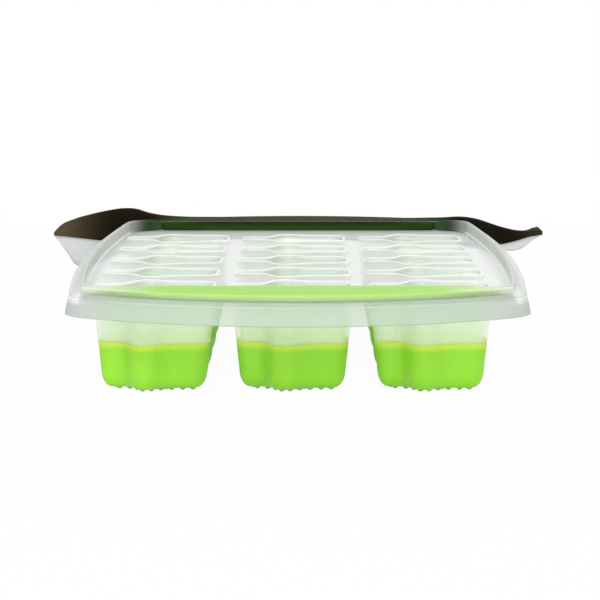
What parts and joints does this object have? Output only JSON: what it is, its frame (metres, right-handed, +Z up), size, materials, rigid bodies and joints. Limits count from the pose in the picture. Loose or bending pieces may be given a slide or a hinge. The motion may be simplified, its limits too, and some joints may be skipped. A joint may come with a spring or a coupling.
{
  "type": "ice cube tray",
  "caption": "Translucent ice cube tray with soft green push-out cups, beaded cup bottoms, soft end grips and a dark cover folded back at the rear.",
  "frame": {"origin": "middle of the object's box at table level", "axes": "+X across the tray, to the right seen from its front end; +Y from the front end to the rear, where the cover is; +Z up"},
  "size_m": [0.17, 0.2606, 0.0349],
  "materials": {
    "frame_plastic": "frosted translucent polypropylene, satin",
    "cup_rubber": "soft satin elastomer, yellow green, slightly translucent",
    "grip_rubber": "soft satin elastomer, paler green where it is thin",
    "cover_rubber": "soft satin sheet, dark brown",
    "lining_plastic": "matt white lining"
  },
  "bodies": {
    "tray": {"rim_frame": "frame_plastic", "front_grip": "grip_rubber", "rear_grip": "grip_rubber", "cover_band": "cover_rubber", "cell_r1c1": "frame_plastic", "cell_r1c2": "frame_plastic", "cell_r1c3": "frame_plastic", "cell_r2c1": "frame_plastic", "cell_r2c2": "frame_plastic", "cell_r2c3": "frame_plastic", "cell_r3c1": "frame_plastic", "cell_r3c2": "frame_plastic", "cell_r3c3": "frame_plastic", "cell_r4c1": "frame_plastic", "cell_r4c2": "frame_plastic", "cell_r4c3": "frame_plastic", "cell_r5c1": "frame_plastic", "cell_r5c2": "frame_plastic", "cell_r5c3": "frame_plastic", "cup_wall_r1c1": "cup_rubber", "cup_wall_r1c2": "cup_rubber", "cup_wall_r1c3": "cup_rubber", "cup_wall_r2c1": "cup_rubber", "cup_wall_r2c2": "cup_rubber", "cup_wall_r2c3": "cup_rubber", "cup_wall_r3c1": "cup_rubber", "cup_wall_r3c2": "cup_rubber", "cup_wall_r3c3": "cup_rubber", "cup_wall_r4c1": "cup_rubber", "cup_wall_r4c2": "cup_rubber", "cup_wall_r4c3": "cup_rubber", "cup_wall_r5c1": "cup_rubber", "cup_wall_r5c2": "cup_rubber", "cup_wall_r5c3": "cup_rubber"},
    "base_r1c1": {"cup_base_r1c1": "cup_rubber"},
    "base_r1c2": {"cup_base_r1c2": "cup_rubber"},
    "base_r1c3": {"cup_base_r1c3": "cup_rubber"},
    "base_r2c1": {"cup_base_r2c1": "cup_rubber"},
    "base_r2c2": {"cup_base_r2c2": "cup_rubber"},
    "base_r2c3": {"cup_base_r2c3": "cup_rubber"},
    "base_r3c1": {"cup_base_r3c1": "cup_rubber"},
    "base_r3c2": {"cup_base_r3c2": "cup_rubber"},
    "base_r3c3": {"cup_base_r3c3": "cup_rubber"},
    "base_r4c1": {"cup_base_r4c1": "cup_rubber"},
    "base_r4c2": {"cup_base_r4c2": "cup_rubber"},
    "base_r4c3": {"cup_base_r4c3": "cup_rubber"},
    "base_r5c1": {"cup_base_r5c1": "cup_rubber"},
    "base_r5c2": {"cup_base_r5c2": "cup_rubber"},
    "base_r5c3": {"cup_base_r5c3": "cup_rubber"},
    "cover": {"cover_sheet": "cover_rubber", "cover_lining": "lining_plastic"}
  },
  "joints": [
    {"name": "push_r1c1", "type": "slide", "parent": "tray", "child": "base_r1c1", "axis": [0, 0, 1], "range_m": [0, 0.006], "stiffness_N_per_m": 250, "springref_m": -0.004, "deforming": ["cup_wall_r1c1"]},
    {"name": "push_r1c2", "type": "slide", "parent": "tray", "child": "base_r1c2", "axis": [0, 0, 1], "range_m": [0, 0.006], "stiffness_N_per_m": 250, "springref_m": -0.004, "deforming": ["cup_wall_r1c2"]},
    {"name": "push_r1c3", "type": "slide", "parent": "tray", "child": "base_r1c3", "axis": [0, 0, 1], "range_m": [0, 0.006], "stiffness_N_per_m": 250, "springref_m": -0.004, "deforming": ["cup_wall_r1c3"]},
    {"name": "push_r2c1", "type": "slide", "parent": "tray", "child": "base_r2c1", "axis": [0, 0, 1], "range_m": [0, 0.006], "stiffness_N_per_m": 250, "springref_m": -0.004, "deforming": ["cup_wall_r2c1"]},
    {"name": "push_r2c2", "type": "slide", "parent": "tray", "child": "base_r2c2", "axis": [0, 0, 1], "range_m": [0, 0.006], "stiffness_N_per_m": 250, "springref_m": -0.004, "deforming": ["cup_wall_r2c2"]},
    {"name": "push_r2c3", "type": "slide", "parent": "tray", "child": "base_r2c3", "axis": [0, 0, 1], "range_m": [0, 0.006], "stiffness_N_per_m": 250, "springref_m": -0.004, "deforming": ["cup_wall_r2c3"]},
    {"name": "push_r3c1", "type": "slide", "parent": "tray", "child": "base_r3c1", "axis": [0, 0, 1], "range_m": [0, 0.006], "stiffness_N_per_m": 250, "springref_m": -0.004, "deforming": ["cup_wall_r3c1"]},
    {"name": "push_r3c2", "type": "slide", "parent": "tray", "child": "base_r3c2", "axis": [0, 0, 1], "range_m": [0, 0.006], "stiffness_N_per_m": 250, "springref_m": -0.004, "deforming": ["cup_wall_r3c2"]},
    {"name": "push_r3c3", "type": "slide", "parent": "tray", "child": "base_r3c3", "axis": [0, 0, 1], "range_m": [0, 0.006], "stiffness_N_per_m": 250, "springref_m": -0.004, "deforming": ["cup_wall_r3c3"]},
    {"name": "push_r4c1", "type": "slide", "parent": "tray", "child": "base_r4c1", "axis": [0, 0, 1], "range_m": [0, 0.006], "stiffness_N_per_m": 250, "springref_m": -0.004, "deforming": ["cup_wall_r4c1"]},
    {"name": "push_r4c2", "type": "slide", "parent": "tray", "child": "base_r4c2", "axis": [0, 0, 1], "range_m": [0, 0.006], "stiffness_N_per_m": 250, "springref_m": -0.004, "deforming": ["cup_wall_r4c2"]},
    {"name": "push_r4c3", "type": "slide", "parent": "tray", "child": "base_r4c3", "axis": [0, 0, 1], "range_m": [0, 0.006], "stiffness_N_per_m": 250, "springref_m": -0.004, "deforming": ["cup_wall_r4c3"]},
    {"name": "push_r5c1", "type": "slide", "parent": "tray", "child": "base_r5c1", "axis": [0, 0, 1], "range_m": [0, 0.006], "stiffness_N_per_m": 250, "springref_m": -0.004, "deforming": ["cup_wall_r5c1"]},
    {"name": "push_r5c2", "type": "slide", "parent": "tray", "child": "base_r5c2", "axis": [0, 0, 1], "range_m": [0, 0.006], "stiffness_N_per_m": 250, "springref_m": -0.004, "deforming": ["cup_wall_r5c2"]},
    {"name": "push_r5c3", "type": "slide", "parent": "tray", "child": "base_r5c3", "axis": [0, 0, 1], "range_m": [0, 0.006], "stiffness_N_per_m": 250, "springref_m": -0.004, "deforming": ["cup_wall_r5c3"]},
    {"name": "cover_fold", "type": "hinge", "parent": "tray", "child": "cover", "pos_m": [0, 0.0963, 0.032], "axis": [1, 0, 0], "range_deg": [0, 90]}
  ]
}
